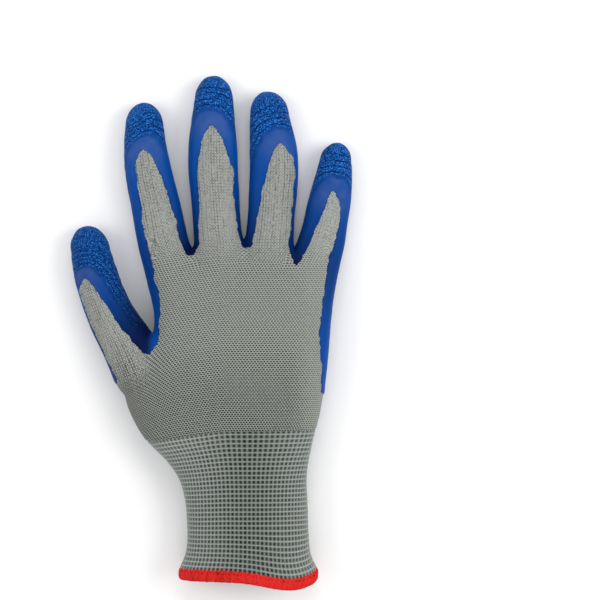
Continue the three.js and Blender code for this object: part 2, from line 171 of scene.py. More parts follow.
# Ovals across Y: x and z follow the cosine and sine of the angle raised to 2 / roundness, between
# the row's edges, and the floor flattens what would go through it.
def ovalRings(rows, angles, inset, roundness, squeeze=1.0, shiftX=0.0):
    y, left, right, top, low = (rows[:, c : c + 1] for c in range(5))
    c, s = np.cos(angles), np.sin(angles)
    roundC = np.sign(c) * np.abs(c) ** (2 / roundness)
    roundS = np.sign(s) * np.abs(s) ** (2 / roundness)
    x = (left + right) / 2 + shiftX + ((right - left) / 2 - inset) * squeeze * roundC
    z = (top + low) / 2 + ((top - low) / 2 - inset) * squeeze * roundS
    return np.stack([x, np.broadcast_to(y, x.shape), np.maximum(z, inset)], axis=-1), roundS


# The hand's and the cuff's ovals at some levels, with the palm's hollow and the mouth's sag.
def handRings(levels, angles, inset):
    rings, upness = ovalRings(alongRows(handRows, levels), angles, inset, form.handRoundness)
    x, y, z = rings[..., 0], rings[..., 1], rings[..., 2]
    z = np.maximum(z, inset + palmLift(x, y))
    return np.stack([x, y - mouthSag(x, y, upness), z], axis=-1)


# A finger from its root inside the palm to its tip: its table's ovals, then a dome whose rings
# shrink with the cosine as they rise with the sine, leaning to the tip.
def fingerRings(finger, angles, inset, step):
    rows = finger["rows"]
    base = rows[-1]
    domeStart = base[0]
    levels = np.linspace(rows[0, 0], domeStart, int((domeStart - rows[0, 0]) / step) + 2)
    body, _ = ovalRings(alongRows(rows, levels), angles, inset, form.fingerRoundness)
    rise = np.linspace(0, 1, 14)[1:] * (math.pi / 2 - 0.12)
    share, squeeze = np.sin(rise)[:, None], np.cos(rise)[:, None]
    domeHeight = finger["tip"][1] - domeStart - inset + form.tipReach
    domeRows = np.repeat(base[None, :], len(rise), axis=0)
    domeRows[:, 0] = domeStart + domeHeight * share[:, 0]
    lean = finger["tip"][0] - (base[1] + base[2]) / 2
    dome, _ = ovalRings(domeRows, angles, inset, form.fingerRoundness, squeeze, lean * share)
    return np.concatenate([body, dome])


# Quads between the rings of a tube, whose last ring may meet its first.
def tubeQuads(ringCount, pointCount, closed=False):
    lastRing = ringCount if closed else ringCount - 1
    i, k = np.meshgrid(np.arange(lastRing), np.arange(pointCount), indexing="ij")
    here, there = i * pointCount, (i + 1) % ringCount * pointCount
    nextK = (k + 1) % pointCount
    return np.stack([here + k, there + k, there + nextK, here + nextK], axis=-1).reshape(-1, 4)


# One closed skin round the hand and the five fingers: a voxel remesh joins their lofts, and a
# smoothing rounds the places where they meet.
def jointSkin(inset, grain, fromY):
    angles = np.linspace(0, 2 * math.pi, 97)[:-1]
    lofts = [handRings(np.arange(fromY, 40.01 - inset, 1.4), angles, inset)]
    lofts += [fingerRings(finger, angles, inset, 1.4) for finger in fingerRows.values()]
    points, faces, first = [], [], 0
    for rings in lofts:
        ringCount, pointCount = rings.shape[:2]
        points.append(rings.reshape(-1, 3))
        faces += (tubeQuads(ringCount, pointCount) + first).tolist()
        faces.append((np.arange(pointCount) + first).tolist())
        faces.append((np.arange(pointCount)[::-1] + first + (ringCount - 1) * pointCount).tolist())
        first += ringCount * pointCount
    mesh = bpy.data.meshes.new("lofts")
    mesh.from_pydata(np.concatenate(points).tolist(), [], faces)
    lofted = bpy.data.objects.new("lofts", mesh)
    bpy.context.collection.objects.link(lofted)
    remesh = lofted.modifiers.new("join", "REMESH")
    remesh.mode = "VOXEL"
    remesh.voxel_size = grain
    rounding = lofted.modifiers.new("round", "SMOOTH")
    rounding.factor = 0.5
    rounding.iterations = form.smoothing
    depsgraph = bpy.context.evaluated_depsgraph_get()
    joined = lofted.evaluated_get(depsgraph).to_mesh()
    skin = np.empty(len(joined.vertices) * 3)
    joined.vertices.foreach_get("co", skin)
    corners = np.empty(len(joined.loops), np.int64)
    joined.loops.foreach_get("vertex_index", corners)
    lofted.evaluated_get(depsgraph).to_mesh_clear()
    bpy.data.objects.remove(lofted)
    bpy.data.meshes.remove(mesh)
    skin, quads = skin.reshape(-1, 3), corners.reshape(-1, 4)
    rootward = smoothStep(*form.softFromY, skin[:, 1]) * smoothStep(*form.softToY, skin[:, 1])
    share = 0.5 * rootward * smoothStep(*form.softAboveZ, skin[:, 2])
    return relaxed(skin, quads, share, int(form.softening / grain**2)), quads


# Rounds off part of a closed skin: again and again, each point moves its share of the way to the
# mean of its neighbours.
def relaxed(points, quads, share, rounds):
    edges = np.concatenate([quads[:, [c, (c + 1) % 4]] for c in range(4)])
    neighbours = np.bincount(edges[:, 0], minlength=len(points))[:, None]
    for _ in range(rounds):
        total = [np.bincount(edges[:, 0], points[edges[:, 1], axis], len(points)) for axis in range(3)]
        points = points + share[:, None] * (np.stack(total, axis=1) / neighbours - points)
    return points


# Unit normals at the points: the sum of the cross products of the diagonals of the quads round each.
def pointNormals(points, quads):
    across = points[quads[:, 2]] - points[quads[:, 0]]
    along = points[quads[:, 3]] - points[quads[:, 1]]
    normals = np.cross(across, along)
    total = np.zeros_like(points)
    for corner in range(4):
        for axis in range(3):
            total[:, axis] += np.bincount(quads[:, corner], normals[:, axis], len(points))
    return total / np.maximum(np.linalg.norm(total, axis=1, keepdims=True), 1e-9)


# The quads that use a kept point, renumbered, with the list of the points that stay.
def keepQuads(points, quads, kept):
    used = quads[kept[quads].any(axis=1)]
    staying = np.unique(used)
    renumber = np.full(len(points), -1)
    renumber[staying] = np.arange(len(staying))
    return renumber[used], staying


# A closed wall from a face and its back: the same quads turned round on the back, and a rim of quads
# along every edge that only one quad uses.
def wallQuads(quads, pointCount):
    edges = np.concatenate([quads[:, [c, (c + 1) % 4]] for c in range(4)])
    keys = edges[:, 0] * pointCount + edges[:, 1]
    turned = edges[:, 1] * pointCount + edges[:, 0]
    rim = edges[~np.isin(turned, keys)]
    rimQuads = np.stack([rim[:, 1], rim[:, 0], rim[:, 0] + pointCount, rim[:, 1] + pointCount], axis=1)
    return np.concatenate([quads, quads[:, ::-1] + pointCount, rimQuads])


# A mesh piece in metres from points in millimetres, with maps per corner or point and values per point.
def makePiece(name, points, faces, material, maps=None, values=None):
    mesh = bpy.data.meshes.new(name)
    mesh.from_pydata((points * metre).tolist(), [], faces.tolist(), shade_flat=False)
    for key, lay in (maps or {}).items():
        perCorner = lay if len(lay) == faces.size else lay[faces.ravel()]
        mesh.uv_layers.new(name=key).uv.foreach_set("vector", perCorner.astype(np.float32).ravel())
    for key, value in (values or {}).items():
        mesh.attributes.new(key, "FLOAT", "POINT").data.foreach_set("value", value.astype(np.float32))
    mesh.materials.append(material)
    mesh.validate()
    piece = bpy.data.objects.new(name, mesh)
    bpy.context.collection.objects.link(piece)
    return piece


# Places a new node with its settings and its inputs; an input that is given as a wire is linked.
def addNode(tree, kind, inputs=None, **settings):
    node = tree.nodes.new(kind)
    for key, value in settings.items():
        setattr(node, key, value)
    for key, value in (inputs or {}).items():
        if isinstance(value, Wire):
            tree.links.new(value.socket, node.inputs[key])
        else:
            node.inputs[key].default_value = value
    return node


def maths(operation, *terms, clamp=False):
    tree = next(term.tree for term in terms if isinstance(term, Wire))
    return wireFrom(tree, "ShaderNodeMath", 0, dict(enumerate(terms)), operation=operation, use_clamp=clamp)


# A node's output to reckon with: each sum, difference, product or quotient places one maths node.
class Wire:
    def __init__(self, socket):
        self.socket, self.tree = socket, socket.id_data

    def __add__(self, other):
        return maths("ADD", self, other)

    def __sub__(self, other):
        return maths("SUBTRACT", self, other)

    def __rsub__(self, other):
        return maths("SUBTRACT", other, self)

    def __mul__(self, other):
        return maths("MULTIPLY", self, other)

    def __truediv__(self, other):
        return maths("DIVIDE", self, other)


def wireFrom(tree, kind, output, inputs=None, **settings):
    return Wire(addNode(tree, kind, inputs, **settings).outputs[output])


def allWires(sockets):
    return {socket.name: Wire(socket) for socket in sockets}


# How far a value's fraction is from one half.
def fromHalf(value):
    return maths("ABSOLUTE", maths("FRACT", value) - 0.5)


# The low value up to fromLow, the high one from fromHigh on, and a straight line between them.
def spanBetween(value, low, high, fromLow=0.0, fromHigh=1.0, kind="LINEAR"):
    inputs = {"Value": value, "From Min": fromLow, "From Max": fromHigh, "To Min": low, "To Max": high}
    return wireFrom(value.tree, "ShaderNodeMapRange", "Result", inputs, interpolation_type=kind)


# 0 at start, 1 at end, smooth between them.
def ramp(value, start, end):
    return spanBetween(value, 0.0, 1.0, start, end, "SMOOTHSTEP")


# How far a place lies out of an oval: its two distances, in half widths and half heights, are raised
# to a power and added up.
def ovalReach(across, along, width, height, power):
    return maths("POWER", across / width, power) + maths("POWER", along / height, power)


def noise(place, scale, detail=2.0, roughness=0.5, distortion=0.0):
    inputs = {"Vector": place, "Scale": scale, "Detail": detail, "Roughness": roughness,
              "Distortion": distortion}
    return wireFrom(place.tree, "ShaderNodeTexNoise", "Fac", inputs)


def partsOf(vector):
    return allWires(addNode(vector.tree, "ShaderNodeSeparateXYZ", {"Vector": vector}).outputs)


def objectPlace(tree):
    return wireFrom(tree, "ShaderNodeTexCoord", "Object")


def uvMap(tree, name):
    return wireFrom(tree, "ShaderNodeUVMap", "UV", uv_map=name)


def attributes(tree, *names):
    return [wireFrom(tree, "ShaderNodeAttribute", "Fac", attribute_name=name) for name in names]


def blendColour(share, first, second):
    return wireFrom(share.tree, "ShaderNodeMix", 2, {0: share, 6: first, 7: second}, data_type="RGBA")


# A colour from three levels out of 255, as the screen shows them.
def colour(*levels):
    shares = np.array(levels) / 255
    linear = np.where(shares < 0.0404, shares / 12.92, ((shares + 0.055) / 1.055) ** 2.4)
    return (*linear.tolist(), 1.0)


# A group of shader nodes. An input's value gives its default, and one without a value is a vector.
def openGroup(name, inputs):
    group = bpy.data.node_groups.new(name, "ShaderNodeTree")
    for label, value in inputs.items():
        kind = "NodeSocketVector" if value is None else "NodeSocketFloat"
        socket = group.interface.new_socket(label, in_out="INPUT", socket_type=kind)
        if value is not None:
            socket.default_value = value
    return group, allWires(addNode(group, "NodeGroupInput").outputs)


def closeGroup(group, outputs):
    for label in outputs:
        group.interface.new_socket(label, in_out="OUTPUT", socket_type="NodeSocketFloat")
    addNode(group, "NodeGroupOutput", outputs)
    return group


def placeGroup(tree, group, inputs):
    return allWires(addNode(tree, "ShaderNodeGroup", inputs, node_tree=group).outputs)


def newMaterial(name, sockets):
    material = bpy.data.materials.new(name)
    material.use_nodes = True
    tree = material.node_tree
    tree.nodes.clear()
    shader = addNode(tree, "ShaderNodeBsdfPrincipled", sockets)
    addNode(tree, "ShaderNodeOutputMaterial", {"Surface": Wire(shader.outputs[0])})
    return material, tree, shader


def finishMaterial(shader, baseColour, height, distance, strength=1.0):
    tree = baseColour.tree
    bump = wireFrom(tree, "ShaderNodeBump", 0, {"Height": height, "Distance": distance, "Strength": strength})
    tree.links.new(baseColour.socket, shader.inputs["Base Color"])
    tree.links.new(bump.socket, shader.inputs["Normal"])


# Yarn tone: broad patches and fine flecks, added up by the fleck share.
def yarnToneGroup():
    group, given = openGroup("yarn tone", {"Place": None, "Patches": 40.0, "Flecks": 1500.0,
                                           "Fleck Share": 0.5})
    patches = noise(given["Place"], given["Patches"])
    flecks = ramp(noise(given["Place"], given["Flecks"], roughness=0.6), 0.32, 0.68)
    share = given["Fleck Share"]
    return closeGroup(group, {"Tone": flecks * share + patches * (1.0 - share)})


# Stockinette: each column of the lay is one wale of V stitches. An oval pit lies at the wale's edge in
# the middle of each course and at the wale's middle between courses; the thread's grooves slant from pit to
# pit, and one more groove runs between wales, deeper for some wales than others. The gap that pits and
# grooves give is painted dark as shade.
def stitchGroup():
    group, given = openGroup("stitches", {"Lay": None, "Wale Groove": 0.3, "Wale Spread": 0.0,
                                          "Pit Width": 0.4, "Pit Height": 0.17, "Pit Depth": 1.0})
    lay = partsOf(given["Lay"])
    fromMiddle, fromCourse = fromHalf(lay["X"]), fromHalf(lay["Y"])
    fromEdge = 0.5 - fromMiddle
    size = given["Pit Width"], given["Pit Height"], 2.0
    pits = maths("MINIMUM", ovalReach(fromEdge, fromCourse, *size),
                 ovalReach(fromMiddle, 0.5 - fromCourse, *size))
    pit = ramp(pits, 1.3, 0.3) * given["Pit Depth"]
    slantGroove = ramp(0.5 - fromHalf(lay["Y"] + fromMiddle), 0.14, 0.02) * 0.3
    wale = maths("FLOOR", lay["X"] + 0.5)
    chance = wireFrom(group, "ShaderNodeTexWhiteNoise", "Value", {"W": wale}, noise_dimensions="1D")
    waleShare = given["Wale Groove"] * ((chance - 0.5) * (given["Wale Spread"] * 2.0) + 1.0)
    waleGroove = ramp(fromEdge, 0.24, 0.02) * waleShare
    gap = maths("MAXIMUM", pit, maths("MAXIMUM", slantGroove, waleGroove))
    return closeGroup(group, {"Height": 1.0 - gap, "Gap": gap})


yarnTone = yarnToneGroup()
stitches = stitchGroup()
print("tools ready")

# The cuff's mesh knit: light cords across, and a hole in each cell between them, painted near black as
# shade. Towards the cuff's sides the colours are painted lighter as light, and the holes smaller.
meshKnit = {
    "columns": 78, "rows": 31, "pointsPerCell": 6, "topY": -46.4, "bottomY": -114.2, "startX": 18,
    "faceInset": 0.45, "crowding": 0.14, "wall": 1.2, "innerRings": 24, "offTable": 0.15,
    "holeWide": 0.33, "holeHigh": 0.34, "holeDepth": 0.7, "cordHeight": 0.14, "ribHeight": 0.12,
    "topRoll": 0.4, "mouthRoll": 0.3, "bendFrom": 10, "bendSlope": 0.16, "bendRound": 7,
    "waves": [(0.08, 1.6, 3), (0.25, 14, 4)],  # height, cell and seed
    # The middle and reach of the painted shade on the cuff; the holes' near black is painted shade, and the
    # side colours are lighter copies painted as light.
    "openX": 19, "openReach": 23, "closedHole": 0.55, "holeSpread": 0.22,
    "light": colour(135, 141, 135), "rib": colour(104, 110, 104), "hole": colour(16, 20, 16),
    "sideLight": colour(160, 165, 161), "sideRib": colour(134, 139, 135), "roughness": 0.85,
    "sheen": 0.15, "specular": 0.3, "fleckScale": 1800.0, "unevenness": 0.4,
    "twistScale": 2200.0, "twistDepth": 0.00012, "twistStrength": 0.8,
    "pitEdge": (1.7, 0.3), "cordEdge": (0.3, 0.46), "ribEdge": (0.3, 0.48),
    "holeEdge": (1.7, 0.1), "holePower": 2.6, "cordShade": (0.37, 0.5),
}


def meshKnitMaterial(look):
    material, tree, shader = newMaterial("grey mesh knit", {
        "Roughness": look.roughness, "Sheen Weight": look.sheen, "Specular IOR Level": look.specular})
    lay, place = uvMap(tree, "lay"), objectPlace(tree)
    (openAndShaded,) = attributes(tree, "open")
    cell = wireFrom(tree, "ShaderNodeVectorMath", 0, {0: lay}, operation="FLOOR")
    chance = wireFrom(tree, "ShaderNodeTexWhiteNoise", "Value", {"Vector": cell}, noise_dimensions="2D")
    across, along = fromHalf(partsOf(lay)["X"]), fromHalf(partsOf(lay)["Y"])
    # The holes, painted near black as shade, smaller at the cuff's sides.
    hole = ramp(ovalReach(across, along, look.holeWide, look.holeHigh, look.holePower), *look.holeEdge)
    hole *= spanBetween(openAndShaded, look.closedHole, 1.0) * spanBetween(chance, 1.0 - look.holeSpread, 1.0)
    tone = placeGroup(tree, yarnTone, {"Place": place, "Flecks": look.fleckScale})["Tone"]
    shade = maths("ADD", 1.0 - ramp(along, *look.cordShade), (tone - 0.5) * look.unevenness, clamp=True)
    # Lighter copies of the cord and rib colours towards the sides, painted as light.
    yarn = blendColour(shade, blendColour(openAndShaded, look.sideLight, look.light),
                       blendColour(openAndShaded, look.sideRib, look.rib))
    twist = noise(place, look.twistScale, 1.0)
    finishMaterial(shader, blendColour(hole, yarn, look.hole), twist, look.twistDepth, look.twistStrength)
    return material


# How far a row of knit hangs below its level: nothing on the right, and towards the left a straight
# slope that is rounded in over the first few millimetres.
def rowBend(x):
    left, rounding = meshKnit["bendFrom"] - x, meshKnit["bendRound"]
    return meshKnit["bendSlope"] * np.where(left > 0, np.sqrt(left**2 + rounding**2) - rounding, 0)


# Angles that part each level's ring into equal lengths, read off a fine polygon; the count starts
# opposite the back's startX, and a crowding adds a sine of twice the turn, narrower at both sides.
def evenAngles(levels, count, inset, startX, crowding=0.0):
    turns = np.arange(count) / count - 0.5
    turns = turns + crowding * np.sin(4 * math.pi * turns) / (4 * math.pi)
    fine = np.linspace(-0.5 * math.pi, 1.5 * math.pi, 1441)
    onBack = (fine >= 0) & (fine <= math.pi)
    rings, _ = ovalRings(alongRows(handRows, levels), fine, inset, form.handRoundness)
    lengths = np.cumsum(np.linalg.norm(np.diff(rings, axis=1, prepend=rings[:, :1]), axis=2), axis=1)
    shares = lengths / lengths[:, -1:]
    angles = []
    for ring, share in zip(rings, shares):
        start = np.interp(-startX, -ring[onBack, 0], share[onBack])
        angles.append(np.interp((start + turns) % 1, share, fine))
    return np.array(angles)


# The cuff's rings, from the top row at share 0 to the mouth at 1: each row hangs by its bend, which
# fades out towards the mouth.
def cuffRings(look, shares, columns, inset):
    levels = look.topY + (look.bottomY - look.topY) * shares
    angles = evenAngles(levels, columns, inset, look.startX, look.crowding)
    flat, _ = ovalRings(alongRows(handRows, levels), angles, inset, form.handRoundness)
    y = levels[:, None] - rowBend(flat[..., 0]) * (1 - shares[:, None])
    points, upness = ovalRings(alongRows(handRows, y), angles.reshape(-1, 1), inset,
                               form.handRoundness)
    points = points.reshape(-1, 3)
    points[:, 1] -= mouthSag(points[:, 0], points[:, 1], upness.ravel())
    return points


# The cuff's wall: a face with a ridge for each cord and rib and a pit for each hole, by smooth steps
# of the place in the cell, a plain back, and both ends closed.
def buildCuff(look):
    cells = look.pointsPerCell
    columns, rings = look.columns * cells, look.rows * cells + 1
    inset = form.knitFace + look.faceInset
    outer = cuffRings(look, np.linspace(0, 1, rings), columns, inset)
    outerQuads = tubeQuads(rings, columns)[:, ::-1]
    ring, column = np.divmod(np.arange(rings * columns), columns)
    across, along = np.abs((column / cells) % 1 - 0.5), np.abs((ring / cells) % 1 - 0.5)
    hole = smoothStep(*look.pitEdge, (across / look.holeWide) ** 3 + (along / look.holeHigh) ** 3)
    cord = smoothStep(*look.cordEdge, along)
    rib = smoothStep(*look.ribEdge, across) * (1 - cord)
    relief = cord * look.cordHeight + rib * look.ribHeight - hole * look.holeDepth
    relief += layeredNoise(outer, look.waves)
    relief -= look.topRoll * (1 - smoothStep(0, 1.5, ring))
    relief -= look.mouthRoll * smoothStep(rings - 4, rings - 1, ring)
    face = outer + pointNormals(outer, outerQuads) * relief[:, None]
    innerShares = np.linspace(0, 1, look.innerRings)
    inner = cuffRings(look, innerShares, columns, inset + look.wall)
    innerQuads = tubeQuads(look.innerRings, columns) + len(face)
    k = np.arange(columns)
    nextK = (k + 1) % columns
    topRim = np.stack([k + len(face), nextK + len(face), nextK, k], axis=1)
    lastOuter, lastInner = (rings - 1) * columns, len(face) + (look.innerRings - 1) * columns
    bottomRim = np.stack([nextK + lastInner, k + lastInner, k + lastOuter, nextK + lastOuter], axis=1)
    points = np.concatenate([face, inner])
    points[:, 2] = np.maximum(points[:, 2], look.offTable)
    faces = np.concatenate([outerQuads, innerQuads, topRim, bottomRim])
    u = np.tile(k / cells, rings + look.innerRings)
    v = np.repeat(np.concatenate([np.arange(rings) / cells, innerShares * look.rows]), columns)
    lay = np.stack([u, v], axis=-1)[faces]
    # A face across the seam has corners on both ends of the count, so its low ones go up by one turn.
    halfTurn = look.columns / 2
    split = (lay[..., 0].max(axis=1) - lay[..., 0].min(axis=1)) > halfTurn
    lay[..., 0] += np.where(split[:, None] & (lay[..., 0] < halfTurn), look.columns, 0)
    # Full painted shade in the cuff's middle, less towards its lighter painted sides.
    openAndShaded = bell(points[:, 0] - look.openX, look.openReach)
    piece = makePiece("meshCuff", points, faces, meshKnitMaterial(look), {"lay": lay.reshape(-1, 2)},
                      {"open": openAndShaded})
    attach(piece, "root")
    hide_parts("knit_cuff")
    print("cuff:", len(faces) * 2, "triangles")


# The hem: thread turns wound round the edge.
threadHem = {
    "threads": 162, "pointsPerThread": 7, "profilePoints": 28, "topY": -113.4, "height": 6.0,
    "thickness": 3.8, "squareness": 0.75, "threadInset": 0.25, "threadHeight": 0.22, "slant": 0.55,
    "needleDent": 0.28, "needleShare": 0.42, "needleReach": 0.16, "gap": 0.05, "offTable": 0.05,
    "wander": [(0.3, 23, 0), (0.2, 61, 1), (0.12, 97, 2)],  # size in threads, waves round the hem and start
    "light": colour(206, 38, 33), "dark": colour(104, 2, 6), "roughness": 0.6, "specular": 0.06,
    "grooveShade": 0.55, "needleShade": 0.5, "threadShade": 0.35, "unevenness": 1.1, "startX": 18,
    "fleckScale": 1400.0, "fibreScale": 2600.0, "fibreDepth": 0.0001, "fibreStrength": 0.6,
    "ridgePower": 0.6, "heightSpread": 0.8, "needleEdge": (0.25, 0.75),
}


def hemMaterial(look):
    material, tree, shader = newMaterial(
        "red overlock thread", {"Roughness": look.roughness, "Specular IOR Level": look.specular})
    place = objectPlace(tree)
    (groove,) = attributes(tree, "groove")
    tone = placeGroup(tree, yarnTone, {"Place": place, "Flecks": look.fleckScale})["Tone"]
    shade = maths("ADD", groove, (tone - 0.5) * look.unevenness, clamp=True)
    fibres = noise(place, look.fibreScale, 1.0)
    finishMaterial(shader, blendColour(shade, look.light, look.dark), fibres, look.fibreDepth,
                   look.fibreStrength)
    return material


# An oval profile carried round the mouth. A thread's ridge is a power of the sine of its half turn,
# slanted by the sine of the way round the profile; needle holes dent every second thread.
def buildHem(look):
    count, width = look.threads * look.pointsPerThread, look.profilePoints
    inset = look.thickness / 2
    angles = evenAngles(np.array([look.topY]), count, inset, look.startX)[0]
    path = handRings(np.array([look.topY]), angles, inset)[0]
    path[:, 1] -= look.gap + look.height / 2
    along = np.roll(path, -1, axis=0) - np.roll(path, 1, axis=0)
    outward = np.stack([along[:, 2], np.zeros(count), -along[:, 0]], axis=1)
    outward /= np.linalg.norm(outward, axis=1, keepdims=True)
    q = np.arange(width) / width * 2 * math.pi
    c, s = np.cos(q), np.sin(q)
    turn = np.arange(count) / count * 2 * math.pi
    thread = np.arange(count) / look.pointsPerThread
    thread = thread + sum(size * np.sin(waves * turn + start) for size, waves, start in look.wander)
    wound = thread[:, None] + look.slant * s
    number = np.floor(wound)
    # A number from 0 to 1 that each thread's number hashes to.
    uneven = np.sin(number * 12.9898) * 43758.5453 % 1
    ridge = np.abs(np.sin(math.pi * (wound - number))) ** look.ridgePower
    needle = bell(s - look.needleShare, look.needleReach) * (c > 0)
    needleHole = needle * smoothStep(*look.needleEdge, np.abs((thread[:, None] / 2) % 1 - 0.5) * 2)
    swell = ridge * look.threadHeight * (1 + look.heightSpread * (uneven - 0.5))
    swell -= needleHole * look.needleDent
    out = np.sign(c) * np.abs(c) ** look.squareness * (inset - look.threadInset) + swell * c
    up = np.sign(s) * np.abs(s) ** look.squareness * (look.height / 2 - look.threadInset) + swell * s
    grid = path[:, None, :] + outward[:, None, :] * out[..., None] + np.array([0, 1, 0]) * up[..., None]
    points = grid.reshape(-1, 3)
    points[:, 2] = np.maximum(points[:, 2], look.offTable)
    faces = tubeQuads(count, width, True)[:, [0, 3, 2, 1]]
    # Painted shade in the grooves between threads and in the needle holes, with a tone that differs from
    # thread to thread.
    dark = (1 - ridge) * look.grooveShade + needleHole * look.needleShade
    dark = np.clip(dark + look.threadShade * (uneven - 0.5), 0, 1)
    piece = makePiece("threadHem", points, faces, hemMaterial(look), values={"groove": dark.ravel()})
    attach(piece, "root")
    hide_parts("cuff_hem")
    print("hem:", len(faces) * 2, "triangles")


# Where the latex ends. The bare knit's outline on the back goes up the left of each tongue, over its
# tip and down its right; edges are [y, left, right].
tongues = {
    "thumb": {"tip": (-60.9, 26.1), "edges": [
        [-6, -53.5, -36.2], [0, -56.3, -41.8], [7.7, -59.6, -47.4], [15.4, -61.9, -52.6],
        [22.6, -63.1, -57.2]]},
    "index": {"tip": (-32.6, 87.9), "edges": [
        [42.7, -30.2, -14.4], [50, -31.7, -16.2], [58.2, -33.3, -18.6], [67.5, -34.8, -21.1],
        [76.7, -35.6, -24.4], [83.5, -35.7, -28.2]]},
    "middle": {"tip": (0.4, 100.5), "edges": [
        [43, -5.4, 13.4], [52, -5.2, 12.2], [66, -5.7, 11.0], [78, -6.2, 9.4],
        [86, -5.1, 8.0], [92.2, -3.9, 6.0], [96.8, -2.4, 3.6]]},
    "ring": {"tip": (33.3, 91.2), "edges": [
        [42, 20.0, 37.6], [47, 21.1, 38.1], [55, 22.9, 39.2], [65, 24.6, 40.0],
        [74, 26.3, 39.9], [81.9, 28.7, 39.6], [87.1, 30.5, 37.4]]},
    "little": {"tip": (59.0, 68.2), "edges": [
        [36, 44.6, 57.2], [42.6, 47.9, 59.4], [48.5, 50.5, 61.0], [54.5, 52.7, 62.1],
        [60, 55.2, 62.2], [64.8, 57.0, 61.2]]},
}
webs = {
    "thumb": [(-33, -9.2), (-29.6, -10.6), (-25.4, -5.3), (-24.5, 8), (-24.8, 22), (-27.6, 33.5)],
    "index": [(-10, 37.6)],
    "middle": [(16.6, 38.4)],
    "ring": [(41.1, 32.4)],
}
thumbSide = [(-80, -30), (-47, -27.8), (-45.6, -23), (-50.5, -12.5)]
littleSide = [(56.2, 31), (54.7, 22), (53, 8), (52.5, -5), (53.5, -20), (54.6, -30), (80, -34)]
sideSlope = np.array([[-70, -2], [-63, 3], [-54, 6], [-22, 9]])
palmEdge = np.array([[-90, -50], [-26, -57], [-12, -63], [2, -66], [20, -66.8], [36, -66], [50, -64.4],
                     [90, -62]])


# A smooth curve through points: a cubic from point to point, timed by the square root of each
# distance, so that it makes no loops.
def curveThrough(points, perSpan):
    p = np.asarray(points, float)
    p = np.concatenate([2 * p[:1] - p[1:2], p, 2 * p[-1:] - p[-2:-1]])
    gaps = np.sqrt(np.linalg.norm(np.diff(p, axis=0), axis=1))[:, None]
    p0, p1, p2, p3 = p[:-3], p[1:-2], p[2:-1], p[3:]
    d0, d1, d2 = gaps[:-2], gaps[1:-1], gaps[2:]
    start = ((p1 - p0) / d0 - (p2 - p0) / (d0 + d1) + (p2 - p1) / d1) * d1
    end = ((p2 - p1) / d1 - (p3 - p1) / (d1 + d2) + (p3 - p2) / d2) * d1
    t = (np.arange(perSpan) / perSpan)[None, :, None]
    spans = cubic(p1[:, None], p2[:, None], start[:, None], end[:, None], t)
    return np.concatenate([spans.reshape(-1, 2), p2[-1:]])


# The closed outline of the bare knit on the back, run past the cuff at its lower end.
def bareOutline():
    points = list(thumbSide)
    for name, tongue in tongues.items():
        edges = tongue["edges"]
        points += [(left, y) for y, left, _ in edges] + [tongue["tip"]]
        points += [(right, y) for y, _, right in reversed(edges)] + webs.get(name, [])
    smooth = curveThrough(points + littleSide, 5)
    return np.concatenate([smooth, [[80, -150], [-80, -150]]])


# Distance from each point to a closed outline: the least over its edges, above zero outside it; a
# point is inside when a line to its right crosses the outline an odd number of times.
def outsideDistance(flat, outline):
    nearest = np.full(len(flat), 1e9)
    inside = np.zeros(len(flat), bool)
    for a, b in zip(outline, np.roll(outline, -1, axis=0)):
        edge = b - a
        t = np.clip(((flat - a) @ edge) / (edge @ edge), 0, 1)
        gap = flat - a - t[:, None] * edge
        nearest = np.minimum(nearest, (gap**2).sum(axis=1))
        crosses = (a[1] > flat[:, 1]) != (b[1] > flat[:, 1])
        if edge[1]:
            inside ^= crosses & (flat[:, 0] < a[0] + (flat[:, 1] - a[1]) / edge[1] * edge[0])
    return np.where(inside, -1, 1) * np.sqrt(nearest)


# How far a point lies inside the latex: outside the bare outline or under the side slope, and
# above the edge on the palm.
def latexCover(points):
    outside = outsideDistance(points[:, :2], bareOutline())
    below = np.interp(points[:, 1], sideSlope[:, 0], sideSlope[:, 1]) - points[:, 2]
    edgeCurve = curveThrough(palmEdge, 8)
    palm = points[:, 1] - np.interp(points[:, 0], edgeCurve[:, 0], edgeCurve[:, 1])
    return np.minimum(np.maximum(outside, below), palm)


